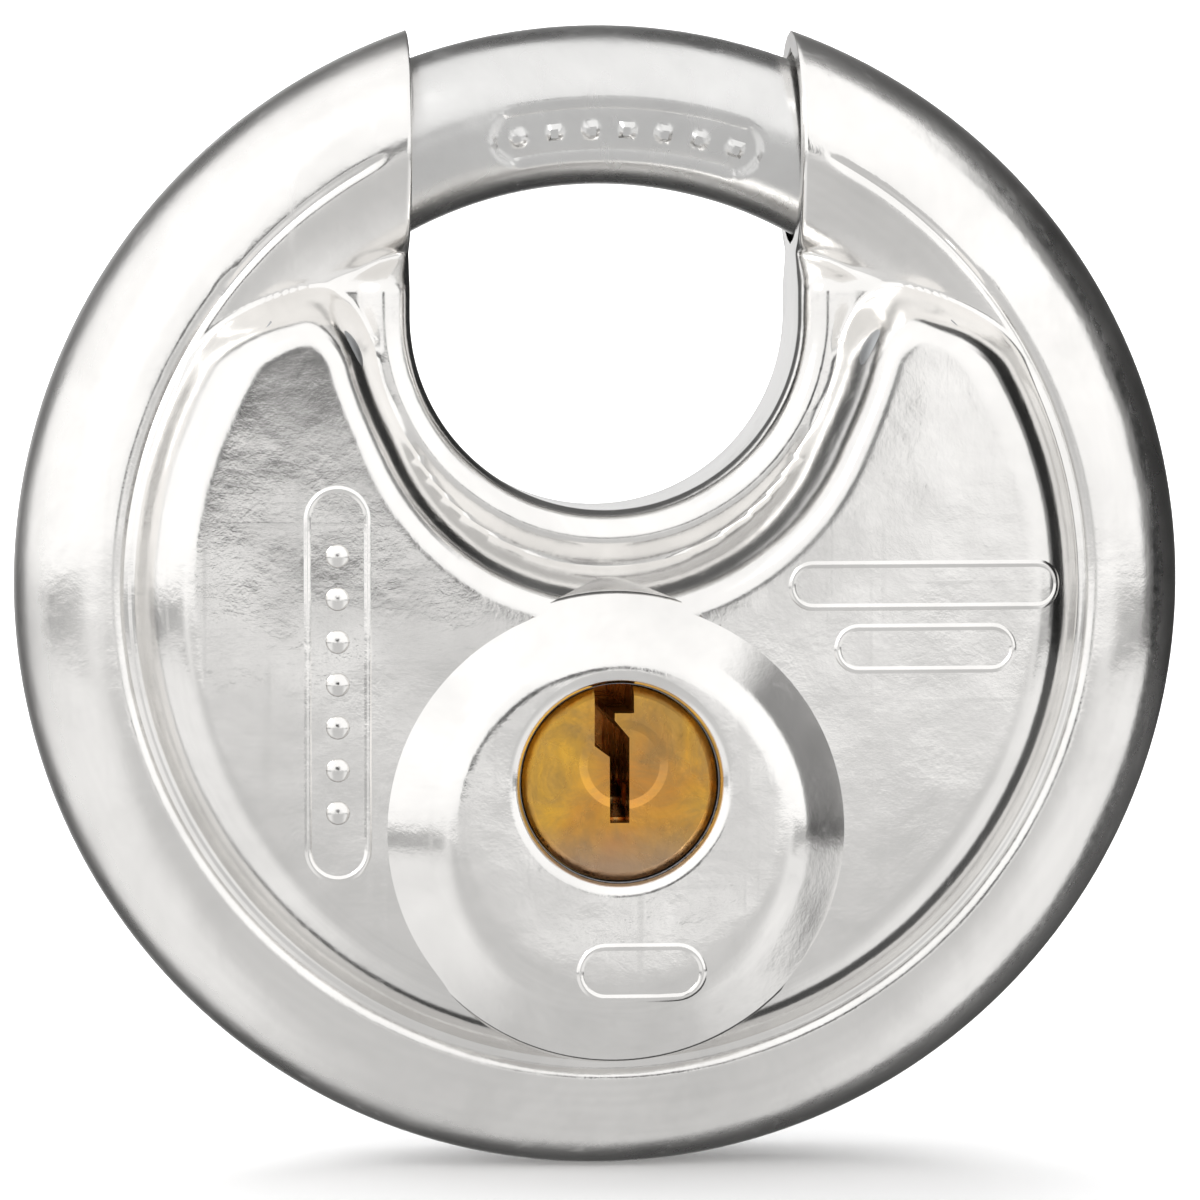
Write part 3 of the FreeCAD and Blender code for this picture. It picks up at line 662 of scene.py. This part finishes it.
def plug_brass_with_painted_reflection():
    """Stained brass, with a painted reflection of the floor that greys its lower part, and a shallow
    round sink about the key's entry.
    """
    m = Surface("brass_plug")
    m.set("Metallic", 1.0)
    stain = m.fit(m.noise(260, 5, roughness=0.7, distortion=0.8), 0.4, 0.66, 0, 1)
    blush = m.fit(m.noise(120, distortion=0.3), 0.4, 0.62, 0, 1)
    warm = m.mix(blush, (0.82, 0.46, 0.07), (0.68, 0.31, 0.07))
    face = m.mix(m.math("MULTIPLY", stain, 0.75), warm, (0.40, 0.25, 0.10))
    split = m.add("ShaderNodeSeparateXYZ")
    m.link(m.place, split.inputs[0])
    # painted reflection: the plug's face is painted greyer towards its lower part, where the floor would
    # be mirrored
    painted_floor_reflection = m.fit(split.outputs[2], (PLUG_Y - 2.4) / 1000, (PLUG_Y - 4.8) / 1000, 0, 0.8)
    m.feed("Base Color", m.mix(painted_floor_reflection, face, (0.40, 0.29, 0.22)))
    m.feed("Roughness", m.fit(m.noise(500, 4), 0.3, 0.7, 0.2, 0.36))
    ring = m.add("ShaderNodeVectorMath", operation="DISTANCE")
    m.link(m.in_plane(), ring.inputs[0])
    ring.inputs[1].default_value = (0.0002, 0, (PLUG_Y + 1.1) / 1000)
    sink = m.fit(ring.outputs["Value"], 0.0021, 0.0026, 0, 1)
    m.bump([(sink, 120 * MICRON), (m.noise(320), 120 * MICRON), (m.noise(4200, 2), 8 * MICRON)])
    return m.material


def worked_metal(name, tone, dark, rough, grain, stretch=(1, 1, 1)):
    m = Surface(name)
    m.set("Metallic", 1.0)
    patch = m.fit(m.noise(130, 5, roughness=0.6), 0.35, 0.7, 0, 1)
    m.feed("Base Color", m.mix(patch, tone, dark))
    m.feed("Roughness", m.fit(m.noise(300, 4), 0.3, 0.7, rough * 0.8, rough * 1.3))
    m.bump([(m.noise(grain, 3, stretch, 0.6), 30 * MICRON), (m.noise(5000, 2), 5 * MICRON)])
    return m.material


def plain_stage(name, tone):
    """Matt paper, with painted shade that makes it half as bright in front of the lock, where the
    camera's first view doesn't reach.
    """
    m = Surface(name)
    split = m.add("ShaderNodeSeparateXYZ")
    m.link(m.place, split.inputs[0])
    front = m.fit(split.outputs[1], -0.14, -0.03, 1, 0)
    paper = m.mix(m.noise(6), tone, tuple(c * 0.985 for c in tone))
    # painted shade: the paper in front of the lock is painted half as bright
    m.feed("Base Color", m.mix(front, paper, tuple(c * 0.5 for c in tone)))
    m.set("Roughness", 0.75)
    return m.material


steel = polished_steel("steel_polished", (0.875, 0.86, 0.84), 0.15, 220 * MICRON)
bar_steel = polished_steel("steel_bar", (0.74, 0.735, 0.725), 0.24, 200 * MICRON)
SLOT_MATERIALS = {
    "polished_steel": steel,
    "shackle_steel": bar_steel,
    "plated_steel": worked_metal("zinc_plated", (0.62, 0.61, 0.57), (0.5, 0.49, 0.45), 0.34, 900),
    "cast_zinc": worked_metal("zinc_cast", (0.5, 0.51, 0.52), (0.4, 0.41, 0.42), 0.5, 420),
    "housing_brass": turned_brass("brass_machined", (0.70, 0.50, 0.22), (0.56, 0.38, 0.15), 0.3),
    "hard_steel": worked_metal(
        "steel_hardened", (0.34, 0.34, 0.36), (0.24, 0.23, 0.24), 0.3, 1200, stretch=(1, 0.1, 1)
    ),
    "plug_brass": plug_brass_with_painted_reflection(),
    "pin_brass": turned_brass("brass_pins", (0.78, 0.56, 0.24), (0.66, 0.46, 0.18), 0.25),
    "spring_steel": worked_metal("steel_wire", (0.6, 0.6, 0.62), (0.48, 0.48, 0.5), 0.28, 1500),
}
# the CAD's nodes carry the same materials, each in the slot that its record names
for entry in frame["record"]["subparts"]:
    node = frame["nodes"][entry["node"]]
    node.data.materials.clear()
    node.data.materials.append(SLOT_MATERIALS[entry["material_slot"]])

build_shell("front_shell_formed", 1, True, steel)
build_shell("rear_shell_formed", -1, False, steel)
build_boss(steel)
build_shackle(bar_steel)
build_marks(steel)
build_springs(SLOT_MATERIALS["spring_steel"])

# ---- stage, light and camera, in metres ----
TENT, CAMERA_WHITE = 1.5, 0.98  # the tent's strength, and what the camera itself sees of it


def add_stage():
    """A pale floor that curves up into a backdrop."""
    half_width, near, far, bend, top = 0.45, -0.25, 0.35, 0.4, 0.8
    floor = -RIM / 1000
    turns = np.linspace(0.1, math.pi / 2, 16)
    profile = [(near, floor), (far, floor)]
    profile += [(far + bend * math.sin(a), floor + bend - bend * math.cos(a)) for a in turns]
    profile.append((far + bend, top))
    points, faces = [], []
    for n, (depth, height) in enumerate(profile):
        points += [(-half_width, depth, height), (half_width, depth, height)]
        if n:
            faces.append((2 * n - 2, 2 * n - 1, 2 * n + 1, 2 * n))
    mesh = bpy.data.meshes.new("backdrop")
    mesh.from_pydata(points, [], faces)
    mesh.polygons.foreach_set("use_smooth", [True] * len(faces))
    mesh.materials.append(plain_stage("paper_pale", (0.93, 0.93, 0.93)))
    backdrop = bpy.data.objects.new("backdrop", mesh)
    bpy.context.scene.collection.objects.link(backdrop)
    backdrop.visible_glossy = False  # the steel mirrors the light tent alone


def add_light(name, place, aim, size, power, spread=180, glossy=True):
    """A soft area light."""
    data = bpy.data.lights.new(name, "AREA")
    data.shape = "RECTANGLE"
    data.size, data.size_y = size
    data.energy = power
    data.spread = math.radians(spread)
    light = bpy.data.objects.new(name, data)
    bpy.context.scene.collection.objects.link(light)
    light.location = place
    light.rotation_euler = (Vector(aim) - light.location).to_track_quat("-Z", "Y").to_euler()
    light.visible_glossy = glossy


def add_world():
    """A white tent round the lock, worked out from the direction alone.

    It is open and dark behind the lock, but for a bright patch straight behind. It is uneven and darker
    below than above, with a grey gap under the horizon, a dark flag on the right and a dark spot straight
    in front.
    """
    world = bpy.data.worlds.new("studio")
    bpy.context.scene.world = world
    world.use_nodes = True
    sky = Graph(world.node_tree)
    out = sky.add("ShaderNodeOutputWorld")
    background = sky.add("ShaderNodeBackground")
    sky.link(background.outputs[0], out.inputs[0])
    direction = sky.add("ShaderNodeTexCoord").outputs["Generated"]
    split = sky.add("ShaderNodeSeparateXYZ")
    sky.link(direction, split.inputs[0])
    x, depth, z = split.outputs
    noise = sky.add("ShaderNodeTexNoise")
    noise.inputs["Scale"].default_value = 7.0
    noise.inputs["Detail"].default_value = 3.0
    sky.link(direction, noise.inputs["Vector"])
    # dark behind the lock, a little further round on the right than on the left
    open_back = sky.ease(sky.math("ADD", depth, sky.math("MULTIPLY", x, 0.3)), 0.26, 0.42, 1.0, 0.1)
    # an uneven white, whose dimmer patches show straight in front alone
    front = sky.ease(depth, -0.98, -0.955, 0.0, 1.0)
    patches = sky.ease(noise.outputs["Fac"], 0.40, 0.54, 0.92, 1.05)
    facing = sky.math("MAXIMUM", front, patches)
    # the grey gap, which fades out in front
    aside = sky.ease(depth, -0.86, -0.62, 0.0, 1.0)
    gap = sky.ease(sky.math("ABSOLUTE", sky.math("ADD", z, 0.12)), 0.03, 0.065, 0.6, 0.0)
    gap = sky.math("SUBTRACT", 1.0, sky.product(gap, aside))
    # the lower half's tone, lighter at the sides
    sides = sky.ease(sky.math("ABSOLUTE", x), 0.3, 0.7, 0.54, 0.78)
    low = sky.math("MAXIMUM", sides, sky.ease(z, -0.14, -0.06, 0.0, 1.0))
    flag = sky.product(
        sky.ease(x, 0.35, 0.55, 0.0, 0.78),
        sky.ease(z, -0.20, -0.10, 0.0, 1.0),
        sky.ease(z, 0.55, 0.80, 1.0, 0.0),
        sky.ease(depth, -0.25, -0.10, 0.0, 1.0),
    )
    spot = sky.product(
        sky.ease(z, -0.046, -0.026, 0.0, 0.97),
        sky.ease(z, 0.10, 0.16, 1.0, 0.0),
        sky.ease(x, 0.09, 0.14, 1.0, 0.0),
        sky.ease(x, -0.16, -0.10, 0.0, 1.0),
        sky.ease(depth, -0.6, -0.5, 1.0, 0.0),
    )
    dark = sky.product(sky.math("SUBTRACT", 1.0, flag), sky.math("SUBTRACT", 1.0, spot))
    tent = sky.product(TENT, open_back, facing, gap, low, dark)
    behind = sky.ease(depth, 0.90, 0.97, 0.0, 0.9)
    # seen by the camera itself, the tent is an even white
    seen = sky.add("ShaderNodeLightPath").outputs["Is Camera Ray"]
    level = sky.math("MAXIMUM", sky.math("ADD", tent, behind), seen)
    most = sky.math("SUBTRACT", TENT, sky.math("MULTIPLY", seen, TENT - CAMERA_WHITE))
    sky.link(sky.math("MINIMUM", level, most), background.inputs["Strength"])


def add_camera():
    """A long lens, a little to the left of the lock and above it."""
    azimuth, elevation, distance = math.radians(-5.4), math.radians(3.6), 0.40
    sensor, seen_width = 36, 0.07206
    data = bpy.data.cameras.new("camera")
    data.sensor_width = sensor
    data.lens = sensor * distance / seen_width
    data.shift_x, data.shift_y = 0.00125, -0.015
    camera = bpy.data.objects.new("camera", data)
    bpy.context.scene.collection.objects.link(camera)
    flat = math.cos(elevation)
    camera.location = (
        distance * math.sin(azimuth) * flat,
        -distance * math.cos(azimuth) * flat,
        distance * math.sin(elevation),
    )
    camera.rotation_euler = (-camera.location.normalized()).to_track_quat("-Z", "Y").to_euler()
    bpy.context.scene.camera = camera


add_stage()
add_world()
add_light("key_left", (-0.5, -0.45, 0.4), (0, 0, 0), (0.3, 0.5), 1.5)
add_light("paper", (0.0, 0.38, 0.55), (0, 0.38, -0.035), (0.7, 0.4), 2.4, spread=100, glossy=False)
add_camera()
bpy.context.scene.view_settings.view_transform = "Standard"
